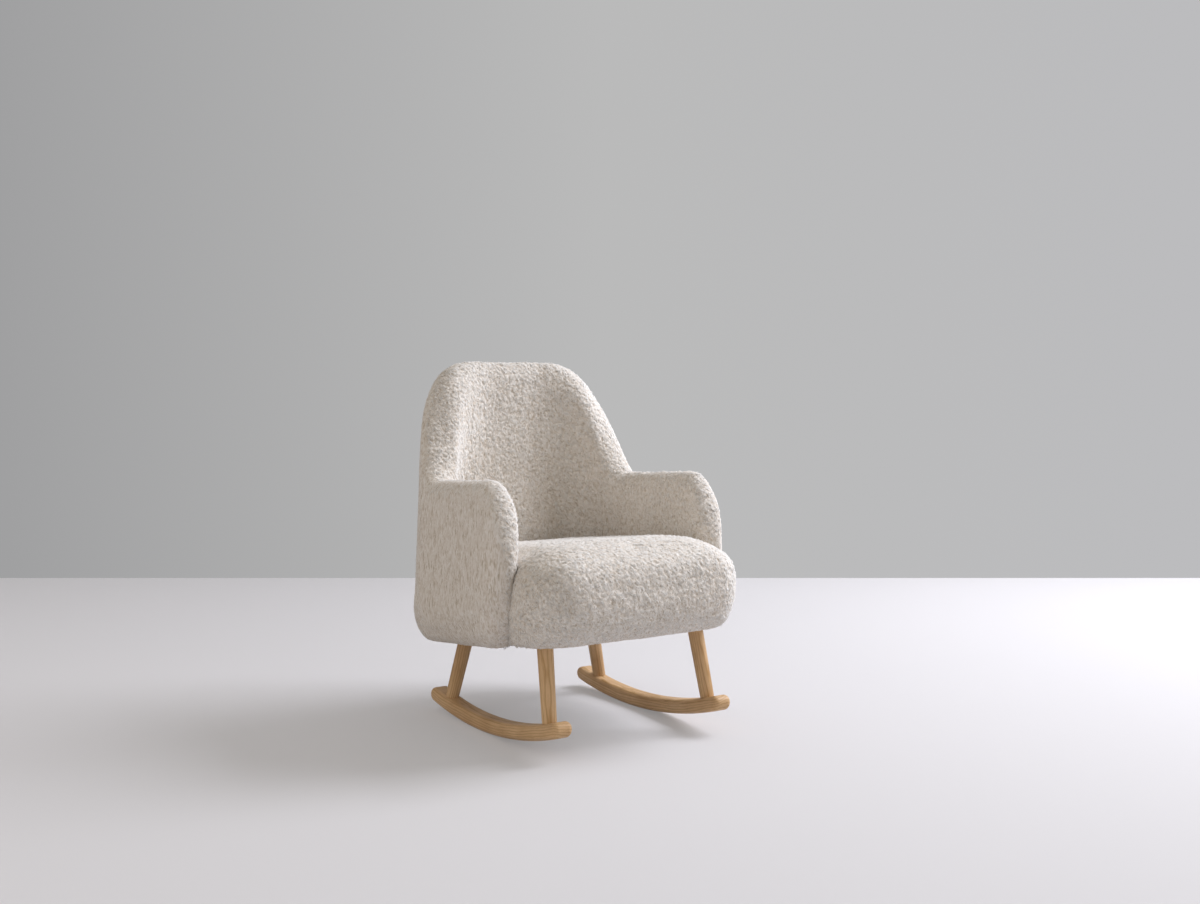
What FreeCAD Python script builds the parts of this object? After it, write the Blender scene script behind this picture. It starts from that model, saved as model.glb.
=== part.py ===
import FreeCAD, Part
import math
import os

V = FreeCAD.Vector
os.makedirs("parts", exist_ok=True)

# overall form of the upholstered tub, millimetres, front is -Y, floor is Z 0
backTop = 908.0
armTop = 608.0
armSlope = 0.055
armSplay = 9.5
midHalfWidth = 286.0
midRear = 320.0
cornerRadius = 150.0
riseBefore = 22.0
riseLength = 336.0
riseEase = 2.0

# wall of the tub, offsets from its middle line outwards
wallDatum = 300.0
wallOuter = 43.0
wallInner = 38.0
outerLean = 0.045
innerLean = 0.020
tuckIn = 50.0
tuckHeight = 100.0
tubDrop = 4.0
rimRoll = 85.0
rimLean = 0.12

# rounded front end of each arm, seen from the side
armFront = -223.0
armNose = 438.0
armCrest = 97.0
crestPower = 1.74
armUnder = 95.0
armPlanRound = 42.0

# sloping underside of the body
deckHeight = 224.0
deckTilt = 6.5

# seat cushion, in the plane of the sloping deck
seatHalfWidth = 288.0
seatFront = -381.0
seatRear = 295.0
seatWidest = 120.0
seatCrown = 231.0
seatUndercut = 65.0
seatSideUndercut = 46.0
seatCrownInset = 170.0
seatFrontRadius = 105.0
seatRearRadius = 118.0

# sewn covers and the gaps between neighbours
coverThickness = 4.0
clear = 0.3

# rockers
rockerRadius = 1230.0
rockerThickness = 36.0
rockerWidth = 50.0
rockerX = 225.0
contactY = 52.0
rockerFrontAngle = 17.8
rockerRearAngle = 10.5
rockerTopNose = 16.0
rockerEdgeRound = 13.0

# legs, round and tapered, given by their axis at two heights
legTopRadius = 19.0
legFootRadius = 17.0
legHigh = 200.0
legLow = 60.0
frontLegHighX = 217.0
frontLegHighY = -247.0
frontLegLowX = 226.0
frontLegLowY = -278.0
rearLegHighX = 190.0
rearLegHighY = 195.0
rearLegLowX = 222.0
rearLegLowY = 208.0
tenonRadius = 11.0
tenonLength = 18.0

# leg fixings
plateWidth = 44.0
plateLength = 52.0
plateThickness = 2.5
boltRadius = 4.0
boltInLeg = 38.0
boltInHub = 13.0
hubRadius = 7.0
hubHeight = 10.0
plateScrewRadius = 2.0
plateScrewLength = 18.0
plateScrewAcross = 26.0
plateScrewAlong = 40.0
plateScrewHead = 3.6
plateScrewHeadHeight = 1.5

# seat frame
railThickness = 30.0
railHeight = 70.0
railOuterX = 228.0
railFrontY = -296.0
railRearY = 218.0
blockWidth = 72.0
blockLength = 92.0
blockHeight = 44.0

# seat springs
springCount = 5
springSpacing = 84.0
springWire = 1.9
springLoop = 24.0
springPitch = 33.0
springRuns = 14
clipWidth = 16.0
clipLength = 22.0
clipThickness = 1.2
feltThickness = 6.0
dustThickness = 1.5

# timbers of the tub frame
timber = 20.0
timberOffset = -4.0
postWidth = 44.0
armPostY = -130.0
cornerPostY = 146.0
armRailDrop = 27.0
hoopHeight = 42.0
baseHoopRise = 14.0
uprightX = 112.0
uprightDrop = 36.0
topRailHeight = 48.0

# bolts that hold the tub to the seat frame
shellBoltRise = 62.0
shellBoltHead = 7.0
shellBoltHeadHeight = 5.0
washerRadius = 10.0
washerThickness = 1.6
teeNutFlange = 9.5
teeNutFlangeThickness = 1.5
teeNutBarrel = 5.2
teeNutLength = 12.0

tiltRad = math.radians(deckTilt)
deckSlope = math.tan(tiltRad)
cornerX = midHalfWidth - cornerRadius
cornerY = midRear - cornerRadius
armRailTop = armTop - armRailDrop
uprightTop = backTop - uprightDrop
deckPlace = FreeCAD.Placement(V(0, 0, deckHeight), FreeCAD.Rotation(V(1, 0, 0), -deckTilt))


def save(node, shape):
    shape.exportStep("parts/" + node + ".step")
    print(node, len(shape.Solids), "solids", round(shape.Volume / 1000.0, 1), "cm3", shape.isValid())


def onDeck(shape):
    moved = shape.copy()
    moved.Placement = deckPlace.multiply(moved.Placement)
    return moved


def mirrored(shape):
    return shape.mirror(V(0, 0, 0), V(1, 0, 0))


def bottomZ(y):
    return deckHeight - y * deckSlope


def wallX(y):
    # the arms stand a little further apart at the front
    ahead = min(max((cornerY - y) / (cornerY - armFront), 0.0), 1.0)
    return midHalfWidth + armSplay * ahead * ahead


def footZ(y):
    return bottomZ(y) - tubDrop


def arcEdge(a, b, c):
    return Part.Arc(a, b, c).toShape()


def lineEdge(a, b):
    return Part.LineSegment(a, b).toShape()


def outerAt(z):
    return wallOuter - outerLean * (z - wallDatum)


def innerAt(z):
    return -wallInner + innerLean * (z - wallDatum)


def smooth(u):
    u = min(max(u, 0.0), 1.0)
    return u * u * (3.0 - 2.0 * u)


def rimHeight(arc):
    # arms climb gently to the front; the back rises from them steeply and rounds over slowly at the top
    u = min(max((arc + riseBefore) / riseLength, 0.0), 1.0)
    u = 1.0 - (1.0 - u) ** riseEase
    return armTop - armSlope * min(arc, 0.0) + (backTop - armTop) * smooth(u)


def wallSection(mx, my, nx, ny, top, low, scale, inset):
    # one upright slice of the wall: flat underside, tucked-under outside, rounded top that rolls
    # further down the inside the higher the rim stands
    def at(o, z):
        return V(mx + nx * o, my + ny * o, z)

    height = top - low
    middle = 0.5 * (outerAt(low + 0.6 * height) + innerAt(low + 0.6 * height))

    def outer(z):
        return middle + (outerAt(z) - inset - middle) * scale

    def inner(z):
        return middle + (innerAt(z) + inset - middle) * scale

    soft = min(max((top + inset - armTop) / (backTop - armTop), 0.0), 1.0)
    half = 0.5 * (outer(top) - inner(top))
    crown = min(half, 0.45 * height)
    roll = min(half + rimRoll * soft, 0.45 * height)
    shoulder = top - crown
    brow = top - roll
    tuck = min(tuckHeight, 0.4 * height)
    slim = tuckIn * scale
    oTop = inner(shoulder) + (0.5 + rimLean * soft) * (outer(shoulder) - inner(shoulder))
    oWide = outer(low + tuck)
    oFoot = oWide - slim
    zFoot = low - ny * oFoot * deckSlope
    zIn = low - ny * inner(low) * deckSlope
    p0 = at(inner(low), zIn)
    p1 = at(oFoot, zFoot)
    p2 = at(oWide, low + tuck)
    p3 = at(outer(shoulder), shoulder)
    p4 = at(oTop, top)
    p5 = at(inner(brow), brow)
    h = math.sqrt(0.5)
    m12 = at(oFoot + slim * h, low + tuck - (low + tuck - zFoot) * h)
    m34 = at(oTop + (outer(shoulder) - oTop) * h, shoulder + crown * h)
    m45 = at(oTop + (inner(brow) - oTop) * h, brow + roll * h)
    edges = [lineEdge(p0, p1), arcEdge(p1, m12, p2), lineEdge(p2, p3)]
    edges += [arcEdge(p3, m34, p4), arcEdge(p4, m45, p5), lineEdge(p5, p0)]
    return Part.Wire(edges)


def shellLoft(inset):
    # the tub wall: slices from one arm tip round the back to the other arm tip
    tip = armFront + inset
    half = []
    crestDepth = armCrest - inset
    underDepth = armUnder - inset
    planRound = armPlanRound - inset
    crestY = armFront + armCrest
    underY = armFront + armUnder
    planY = armFront + armPlanRound
    underDrop = armNose - footZ(underY) - inset
    for back in (1.2, 5.0, 14.0, 28.0, 48.0, 74.0, 100.0):
        y = tip + back
        u = min(1.0, max(0.0, (crestY - y) / crestDepth))
        crest = (1.0 - u ** crestPower) ** (1.0 / crestPower)
        top = armNose + (rimHeight(y - cornerY) - inset - armNose) * crest
        u = min(1.0, max(0.0, (underY - y) / underDepth))
        low = armNose - underDrop * math.sqrt(1.0 - u * u)
        if y >= underY:
            low = footZ(y) + inset
        u = min(1.0, max(0.0, (planY - y) / planRound))
        scale = math.sqrt(1.0 - u * u)
        half.append((wallX(y), y, 1.0, 0.0, top, low, scale))
    for y in (-30.0, 60.0, 0.5 * (60.0 + cornerY)):
        top = rimHeight(y - cornerY) - inset
        half.append((wallX(y), y, 1.0, 0.0, top, footZ(y) + inset, 1.0))
    for angle in (0.0, 15.0, 30.0, 45.0, 60.0, 75.0, 90.0):
        a = math.radians(angle)
        x = cornerX + cornerRadius * math.cos(a)
        y = cornerY + cornerRadius * math.sin(a)
        top = rimHeight(cornerRadius * a) - inset
        half.append((x, y, math.cos(a), math.sin(a), top, footZ(y) + inset, 1.0))
    top = rimHeight(0.5 * math.pi * cornerRadius + 0.5 * cornerX) - inset
    half.append((0.5 * cornerX, midRear, 0.0, 1.0, top, footZ(midRear) + inset, 1.0))
    wires = []
    for x, y, nx, ny, top, low, scale in half:
        wires.append(wallSection(-x, y, -nx, ny, top, low, scale, inset))
    wires.append(wallSection(0.0, midRear, 0.0, 1.0, backTop - inset, footZ(midRear) + inset, 1.0, inset))
    for x, y, nx, ny, top, low, scale in reversed(half):
        wires.append(wallSection(x, y, nx, ny, top, low, scale, inset))
    return Part.makeLoft(wires, True, False)


def roundedLoop(w, front, rear, rf, rr, z):
    # a rectangle with rounded corners in the deck plane
    h = math.sqrt(0.5)

    def corner(cx, cy, r, sx, sy, flip):
        a = V(cx + sx * r, cy, z)
        b = V(cx + sx * r * h, cy + sy * r * h, z)
        c = V(cx, cy + sy * r, z)
        return arcEdge(c, b, a) if flip else arcEdge(a, b, c)

    edges = [lineEdge(V(-w + rf, front, z), V(w - rf, front, z))]
    edges.append(corner(w - rf, front + rf, rf, 1, -1, True))
    edges.append(lineEdge(V(w, front + rf, z), V(w, rear - rr, z)))
    edges.append(corner(w - rr, rear - rr, rr, 1, 1, False))
    edges.append(lineEdge(V(w - rr, rear, z), V(-w + rr, rear, z)))
    edges.append(corner(-w + rr, rear - rr, rr, -1, 1, True))
    edges.append(lineEdge(V(-w, rear - rr, z), V(-w, front + rf, z)))
    edges.append(corner(-w + rf, front + rf, rf, -1, -1, False))
    return Part.Wire(edges)


def seatLoft(inset):
    # the seat cushion: rounded outlines that swell to the widest line and draw in to the crown
    low = inset
    high = seatCrown - inset
    wires = []
    for part in (0.0, 0.12, 0.3, 0.6, 1.0):
        z = low + (seatWidest - low) * part
        roll = 1.0 - math.sqrt(1.0 - (1.0 - part) ** 2)
        wires.append(seatLoop(seatSideUndercut * roll, seatUndercut * roll, inset, z))
    for part in (0.35, 0.62, 0.8, 0.91, 0.97, 1.0):
        z = seatWidest + (high - seatWidest) * part
        roll = 1.0 - math.sqrt(1.0 - part ** 2.6)
        wires.append(seatLoop(seatCrownInset * roll, seatCrownInset * roll, inset, z))
    return Part.makeLoft(wires, True, False)


def seatLoop(sideDraw, endDraw, inset, z):
    w = seatHalfWidth - sideDraw - inset
    rf = max(seatFrontRadius - 0.35 * (endDraw + inset), 20.0)
    rr = max(seatRearRadius - 0.35 * (endDraw + inset), 20.0)
    return roundedLoop(w, seatFront + endDraw + inset, seatRear - 0.8 * endDraw - inset, rf, rr, z)


def box(x0, x1, y0, y1, z0, z1):
    return Part.makeBox(x1 - x0, y1 - y0, z1 - z0, V(x0, y0, z0))


def rod(base, direction, radius, length):
    return Part.makeCylinder(radius, length, base, direction)


# rockers: curved bars with bull-nosed ends and softened edges
def rockerPoint(radius, angle):
    a = math.radians(angle)
    return V(0, contactY + radius * math.sin(a), rockerRadius - radius * math.cos(a))


def rockerBar():
    outer = rockerRadius
    inner = rockerRadius - rockerThickness
    nose = rockerTopNose
    sweep = rockerThickness - nose
    split = inner + nose
    h = math.sqrt(0.5)

    def end(angle, side):
        tipAngle = angle + side * math.degrees(sweep / split)
        backAngle = tipAngle - side * math.degrees(nose / inner)
        a = rockerPoint(outer, angle)
        b = rockerPoint(split + sweep * h, angle + side * math.degrees(sweep * h / split))
        c = rockerPoint(split, tipAngle)
        d = rockerPoint(split - nose * h, backAngle + side * math.degrees(nose * h / inner))
        e = rockerPoint(inner, backAngle)
        return [arcEdge(a, b, c), arcEdge(c, d, e)], a, e

    rearEdges, rearLow, rearTop = end(rockerRearAngle, 1)
    frontEdges, frontLow, frontTop = end(-rockerFrontAngle, -1)
    lowArc = arcEdge(frontLow, rockerPoint(outer, 0.0), rearLow)
    topArc = arcEdge(rearTop, rockerPoint(inner, 0.0), frontTop)
    edges = Part.sortEdges([lowArc] + rearEdges + [topArc] + frontEdges)[0]
    face = Part.Face(Part.Wire(edges))
    face.translate(V(rockerX - 0.5 * rockerWidth, 0, 0))
    bar = face.extrude(V(rockerWidth, 0, 0))
    rims = []
    for f in bar.Faces:
        if abs(f.normalAt(0, 0).x) > 0.99:
            rims += f.Edges
    return bar.makeFillet(rockerEdgeRound, rims)


# legs: tapered dowels between the rocker tops and the leg plates under the deck
def legAxis(hx, hy, lx, ly):
    low = V(lx, ly, legLow)
    direction = V(hx - lx, hy - ly, legHigh - legLow)
    direction.normalize()
    return low, direction


frontAxis = legAxis(frontLegHighX, frontLegHighY, frontLegLowX, frontLegLowY)
rearAxis = legAxis(rearLegHighX, rearLegHighY, rearLegLowX, rearLegLowY)
deckNormal = V(0, math.sin(tiltRad), math.cos(tiltRad))
railLow = coverThickness + clear
plateTopZ = railLow - clear
plateLowZ = plateTopZ - plateThickness
legTopZ = plateLowZ - clear


def alongToDeck(axis, level):
    low, direction = axis
    onPlane = V(0, 0, deckHeight).add(deckNormal * level)
    return (onPlane.sub(low)).dot(deckNormal) / direction.dot(deckNormal)


def alongToRocker(axis):
    low, direction = axis
    radius = rockerRadius - rockerThickness
    py = low.y - contactY
    pz = low.z - rockerRadius
    a = direction.y ** 2 + direction.z ** 2
    b = py * direction.y + pz * direction.z
    c = py ** 2 + pz ** 2 - radius ** 2
    return (-b - math.sqrt(b * b - a * c)) / a


def pointOn(axis, t):
    low, direction = axis
    return low.add(direction * t)


def legSolid(axis):
    low, direction = axis
    foot = alongToRocker(axis)
    top = alongToDeck(axis, legTopZ)
    over = 25.0
    slope = (legTopRadius - legFootRadius) / (top - foot)
    start = pointOn(axis, foot - over)
    body = Part.makeCone(legFootRadius - slope * over, legTopRadius + slope * over,
                         top - foot + 2.0 * over, start, direction)
    roll = Part.makeCylinder(rockerRadius - rockerThickness - 0.5 * clear, 900.0,
                             V(-450.0, contactY, rockerRadius), V(1, 0, 0))
    body = body.common(roll)
    body = body.cut(onDeck(box(-500, 500, -500, 500, legTopZ, legTopZ + 200.0)))
    tenon = rod(pointOn(axis, foot - tenonLength), direction, tenonRadius, tenonLength + 20.0)
    body = body.fuse(tenon).removeSplitter()
    bore = rod(pointOn(axis, top - boltInLeg - 1.0), direction, boltRadius + 0.5 * clear, boltInLeg + 60.0)
    return body.cut(bore)


def legMortise(axis):
    low, direction = axis
    foot = alongToRocker(axis)
    return rod(pointOn(axis, foot - tenonLength - 0.5), direction, tenonRadius + 0.5 * clear, tenonLength + 40.0)


def legBolt(axis):
    low, direction = axis
    top = alongToDeck(axis, legTopZ)
    return rod(pointOn(axis, top - boltInLeg), direction, boltRadius, boltInLeg + boltInHub)


def legHubSpace(axis):
    low, direction = axis
    top = alongToDeck(axis, legTopZ)
    return rod(pointOn(axis, top - 10.0), direction, hubRadius + 1.0, 10.0 + boltInHub + 5.0)


def legPlate(axis):
    low, direction = axis
    top = alongToDeck(axis, legTopZ)
    seat = pointOn(axis, alongToDeck(axis, plateTopZ))
    local = deckPlace.inverse().multVec(seat)
    h = 0.5 * plateWidth
    k = 0.5 * plateLength
    plate = onDeck(box(local.x - h, local.x + h, local.y - k, local.y + k, plateLowZ, plateTopZ))
    h += 1.0
    k += 1.0
    window = onDeck(box(local.x - h, local.x + h, local.y - k, local.y + k, -20.0, railLow))
    hub = rod(pointOn(axis, top - 4.0), direction, hubRadius, 4.0 + hubHeight + plateThickness)
    hub = hub.cut(onDeck(box(-500, 500, -500, 500, plateLowZ - 60.0, plateLowZ)))
    plate = plate.fuse(hub).removeSplitter()
    plate = plate.cut(rod(pointOn(axis, top - 20.0), direction, boltRadius + 0.5 * clear, 80.0))
    screws = []
    holes = []
    for sx in (-1, 1):
        for sy in (-1, 1):
            x = local.x + sx * 0.5 * plateScrewAcross
            y = local.y + sy * 0.5 * plateScrewAlong
            up = V(0, 0, 1)
            base = V(x, y, plateLowZ - clear)
            head = rod(base.sub(V(0, 0, plateScrewHeadHeight)), up, plateScrewHead, plateScrewHeadHeight)
            shank = rod(base.sub(V(0, 0, 0.5)), up, plateScrewRadius, plateScrewLength)
            screws.append(onDeck(head.fuse(shank).removeSplitter()))
            hole = rod(base.sub(V(0, 0, 2.0)), up, plateScrewRadius + 0.5 * clear, plateScrewLength + 2.0)
            holes.append(onDeck(hole))
    for hole in holes:
        plate = plate.cut(hole)
    return plate, screws, holes, window


frontLeg = legSolid(frontAxis)
rearLeg = legSolid(rearAxis)
rocker = rockerBar()
rocker = rocker.cut(legMortise(frontAxis)).cut(legMortise(rearAxis))
save("rocker_right", rocker)
save("rocker_left", mirrored(rocker))
save("leg_front_right", frontLeg)
save("leg_front_left", mirrored(frontLeg))
save("leg_rear_right", rearLeg)
save("leg_rear_left", mirrored(rearLeg))

frontPlate, frontScrews, frontHoles, frontWindow = legPlate(frontAxis)
rearPlate, rearScrews, rearHoles, rearWindow = legPlate(rearAxis)
windows = [frontWindow, rearWindow, mirrored(frontWindow), mirrored(rearWindow)]
plates = [frontPlate, rearPlate, mirrored(frontPlate), mirrored(rearPlate)]
bolts = [legBolt(frontAxis), legBolt(rearAxis)]
bolts += [mirrored(b) for b in bolts]
screws = frontScrews + rearScrews
screws += [mirrored(s) for s in screws]
save("leg_plates", Part.makeCompound(plates))
save("leg_hanger_bolts", Part.makeCompound(bolts))
save("leg_plate_screws", Part.makeCompound(screws))

legSpaces = [legHubSpace(frontAxis), legHubSpace(rearAxis)] + frontHoles + rearHoles
legSpaces += [mirrored(s) for s in legSpaces]

# bolts, washers and tee nuts between the tub posts and the seat side rails
postOut = midHalfWidth + timberOffset + 0.5 * timber
postIn = postOut - timber
railInX = railOuterX - railThickness
shellBolts = []
shellWashers = []
shellTees = []
boltBores = []
teeSpaces = []
for y in (armPostY, cornerPostY):
    z = bottomZ(y) + shellBoltRise
    out = V(1, 0, 0)
    face = railInX - clear
    ring = rod(V(face - washerThickness, y, z), out, washerRadius, washerThickness)
    ring = ring.cut(rod(V(face - 10, y, z), out, boltRadius + clear, 20.0))
    shellWashers.append(ring)
    under = face - washerThickness - clear
    head = rod(V(under - shellBoltHeadHeight, y, z), out, shellBoltHead, shellBoltHeadHeight)
    shank = rod(V(under - 1.0, y, z), out, boltRadius, postOut - under)
    shellBolts.append(head.fuse(shank).removeSplitter())
    flange = rod(V(postOut + clear, y, z), out, teeNutFlange, teeNutFlangeThickness)
    barrel = rod(V(postOut + clear - teeNutLength, y, z), out, teeNutBarrel, teeNutLength + 0.5)
    tee = flange.fuse(barrel).removeSplitter()
    tee = tee.cut(rod(V(postIn, y, z), out, boltRadius + 0.5 * clear, 60.0))
    shellTees.append(tee)
    boltBores.append(rod(V(railInX - 5.0, y, z), out, boltRadius + clear, postOut + 4.0 - railInX))
    teeSpaces.append(rod(V(postOut + clear - teeNutLength - clear, y, z), out, teeNutBarrel + clear, 40.0))
teeRooms = []
for y in (armPostY, cornerPostY):
    z = bottomZ(y) + shellBoltRise
    teeRooms.append(rod(V(postOut, y, z), V(1, 0, 0), teeNutFlange + clear, teeNutFlangeThickness + 2.0 * clear))
save("shell_bolts", Part.makeCompound(shellBolts + [mirrored(s) for s in shellBolts]))
save("shell_washers", Part.makeCompound(shellWashers + [mirrored(s) for s in shellWashers]))
save("shell_tee_nuts", Part.makeCompound(shellTees + [mirrored(s) for s in shellTees]))

# seat frame rails and corner blocks
railTop = railLow + railHeight
sideRail = onDeck(box(railInX, railOuterX, railFrontY, railRearY, railLow, railTop))
for cutter in boltBores + legSpaces:
    sideRail = sideRail.cut(cutter)
inX = railInX - 0.5 * clear
frontRail = onDeck(box(-inX, inX, railFrontY, railFrontY + railThickness, railLow, railTop))
rearRail = onDeck(box(-inX, inX, railRearY - railThickness, railRearY, railLow, railTop))
for cutter in legSpaces:
    frontRail = frontRail.cut(cutter)
    rearRail = rearRail.cut(cutter)
frontIn = railFrontY + railThickness + 0.5 * clear
rearIn = railRearY - railThickness - 0.5 * clear


def cornerBlock(y0, y1, chamferY):
    x0 = inX - 0.5 * clear - blockWidth
    x1 = inX - 0.5 * clear
    block = box(x0, x1, y0, y1, railLow, railLow + blockHeight)
    c = 26.0
    s = 1.0 if chamferY > 0.5 * (y0 + y1) else -1.0
    a = V(x0, chamferY, 0)
    tri = Part.Face(Part.makePolygon([a, a.add(V(c, 0, 0)), a.add(V(0, -s * c, 0)), a]))
    wedge = tri.extrude(V(0, 0, 200.0))
    block = onDeck(block.cut(wedge))
    for cutter in legSpaces:
        block = block.cut(cutter)
    return block


frontBlock = cornerBlock(frontIn, frontIn + blockLength, frontIn + blockLength)
rearBlock = cornerBlock(rearIn - blockLength, rearIn, rearIn - blockLength)
save("seat_rail_right", sideRail)
save("seat_rail_left", mirrored(sideRail))
save("seat_rail_front", frontRail)
save("seat_rail_rear", rearRail)
save("corner_block_front_right", frontBlock)
save("corner_block_front_left", mirrored(frontBlock))
save("corner_block_rear_right", rearBlock)
save("corner_block_rear_left", mirrored(rearBlock))


# sinuous springs from the front rail to the rear rail
def springWirePath(x0, y0, y1, z):
    runs = springRuns
    pitch = (y1 - y0) / (runs - 1.0)
    r = 0.5 * pitch
    half = springLoop
    edges = []
    side = 1.0
    for i in range(runs):
        y = y0 + pitch * i
        edges.append(lineEdge(V(x0 - side * half, y, z), V(x0 + side * half, y, z)))
        if i < runs - 1:
            xe = x0 + side * half
            edges.append(arcEdge(V(xe, y, z), V(xe + side * r, y + r, z), V(xe, y + pitch, z)))
        side = -side
    return Part.Wire(edges)


springZ = railTop + clear + springWire
springFrontY = railFrontY + 0.5 * railThickness
springRearY = railRearY - 0.5 * railThickness
springs = []
clips = []
for i in range(springCount):
    x = springSpacing * (i - 0.5 * (springCount - 1))
    path = springWirePath(x, springFrontY, springRearY, springZ)
    start = V(x - springLoop, springFrontY, springZ)
    ring = Part.Wire(Part.makeCircle(springWire, start, V(1, 0, 0)))
    springs.append(onDeck(path.makePipeShell([ring], True, False)))
    for y in (springFrontY, springRearY):
        z0 = springZ + springWire + clear
        w = 0.5 * clipWidth
        h = 0.5 * clipLength
        top = box(x - w, x + w, y - h, y + h, z0, z0 + clipThickness)
        foot = box(x - w, x + w, y - h, y - h + 4.0, railTop + clear, z0 + 0.2)
        clips.append(onDeck(top.fuse(foot).removeSplitter()))
save("seat_springs", Part.makeCompound(springs))
save("spring_clips", Part.makeCompound(clips))
feltLow = springZ + springWire + clipThickness + 2.0 * clear
feltTop = feltLow + feltThickness
felt = onDeck(box(-railOuterX, railOuterX, railFrontY, railRearY, feltLow, feltTop))
save("spring_felt", felt)


# timbers of the tub frame, each also made a little larger to clear its place in the foam
def postBox(y, z1, grow):
    z0 = bottomZ(y + 0.5 * postWidth) + coverThickness + baseHoopRise
    h = 0.5 * postWidth
    return box(postIn - grow, postOut + grow, y - h - grow, y + h + grow, z0 - grow, z1 + grow)


def armRailBox(grow):
    y0 = armPostY - 0.5 * postWidth
    y1 = cornerPostY + 0.5 * postWidth
    z0 = armRailTop - hoopHeight + clear
    return box(postIn - grow, postOut + grow, y0 - grow, y1 + grow, z0 - grow, armRailTop + grow)


hoopOut = cornerRadius + timberOffset + 0.5 * timber
hoopIn = hoopOut - timber
backOutY = cornerY + hoopOut
backInY = backOutY - timber
uprightHalf = 0.5 * postWidth


def hoopCorner(z0, z1, grow):
    # quarter ring between the corner post and the back upright
    ring = Part.makeCylinder(hoopOut + grow, z1 - z0 + 2 * grow, V(cornerX, cornerY, z0 - grow))
    ring = ring.cut(Part.makeCylinder(hoopIn - grow, z1 - z0 + 40.0, V(cornerX, cornerY, z0 - 20.0)))
    y0 = cornerPostY + 0.5 * postWidth + clear - grow
    x0 = uprightX + uprightHalf + clear - grow
    keep = box(x0, 500.0, y0, 500.0, z0 - 50.0, z1 + 50.0)
    return ring.common(keep)


def uprightBox(grow):
    z0 = bottomZ(backOutY) + coverThickness + baseHoopRise
    x0 = uprightX - uprightHalf
    x1 = uprightX + uprightHalf
    return box(x0 - grow, x1 + grow, backInY - grow, backOutY + grow, z0 - grow, uprightTop + grow)


def backRail(z0, z1, grow):
    x = uprightX - uprightHalf - clear + grow
    return box(-x, x, backInY - grow, backOutY + grow, z0 - grow, z1 + grow)


baseLow = bottomZ(backOutY) + coverThickness + baseHoopRise + 22.0
hoopLow = armRailTop - hoopHeight


def frameSolids(grow):
    right = {}
    postTop = hoopLow
    right["arm_post"] = postBox(armPostY, postTop, grow)
    right["corner_post"] = postBox(cornerPostY, postTop, grow)
    right["arm_rail"] = armRailBox(grow)
    right["corner_rail_upper"] = hoopCorner(hoopLow, armRailTop, grow)
    right["corner_rail_lower"] = hoopCorner(baseLow, baseLow + hoopHeight, grow)
    right["back_upright"] = uprightBox(grow)
    middle = {}
    middle["back_rail_lower"] = backRail(baseLow, baseLow + hoopHeight, grow)
    middle["back_rail_lumbar"] = backRail(hoopLow, armRailTop, grow)
    middle["back_rail_top"] = backRail(uprightTop - topRailHeight, uprightTop, grow)
    return right, middle


rightFrame, middleFrame = frameSolids(0.0)
for name in rightFrame:
    piece = rightFrame[name]
    for cutter in boltBores + teeSpaces:
        piece = piece.cut(cutter)
    save(name + "_right", piece)
    save(name + "_left", mirrored(piece))
for name in middleFrame:
    save(name, middleFrame[name])

# foam and cover of the tub
shellOuter = shellLoft(0.0)
shellLining = shellLoft(coverThickness)
shellCore = shellLoft(coverThickness + clear)
passages = boltBores + [mirrored(b) for b in boltBores]
shellCover = shellOuter.cut(shellLining)
for cutter in passages:
    shellCover = shellCover.cut(cutter)
shellFoam = shellCore
rightRoom, middleRoom = frameSolids(clear)
rooms = []
for name in rightRoom:
    rooms += [rightRoom[name], mirrored(rightRoom[name])]
for name in middleRoom:
    rooms.append(middleRoom[name])
rooms += passages + teeRooms + [mirrored(t) for t in teeRooms]
for cutter in rooms:
    shellFoam = shellFoam.cut(cutter)
save("shell_cover", shellCover)
save("shell_foam", shellFoam)

# foam and cover of the seat, shaped to the inside of the tub
seatOuter = onDeck(seatLoft(0.0)).cut(shellLoft(-clear))
seatLining = onDeck(seatLoft(coverThickness)).cut(shellLoft(-clear - coverThickness))
seatCore = onDeck(seatLoft(coverThickness + clear)).cut(shellLoft(-2.0 * clear - coverThickness))
lip = 16.0
mouth = box(-railOuterX + lip, railOuterX - lip, railFrontY + lip, railRearY - lip, -20.0, coverThickness + 1.0)
seatCover = seatOuter.cut(seatLining).cut(onDeck(mouth))
for cutter in passages + windows:
    seatCover = seatCover.cut(cutter)
bed = box(-railOuterX - clear, railOuterX + clear, railFrontY - clear, railRearY + clear, -20.0, feltTop + clear)
seatFoam = seatCore.cut(onDeck(bed))
for cutter in passages:
    seatFoam = seatFoam.cut(cutter)
save("seat_cover", seatCover)
save("seat_foam", seatFoam)

# dust cover tacked under the seat frame, with openings for the legs
dustTop = -clear
dustX = railOuterX - 6.0
dust = box(-dustX, dustX, railFrontY + 6.0, railRearY - 6.0, dustTop - dustThickness, dustTop)
dust = onDeck(dust)
for cutter in windows:
    dust = dust.cut(cutter)
save("dust_cover", dust)
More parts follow.
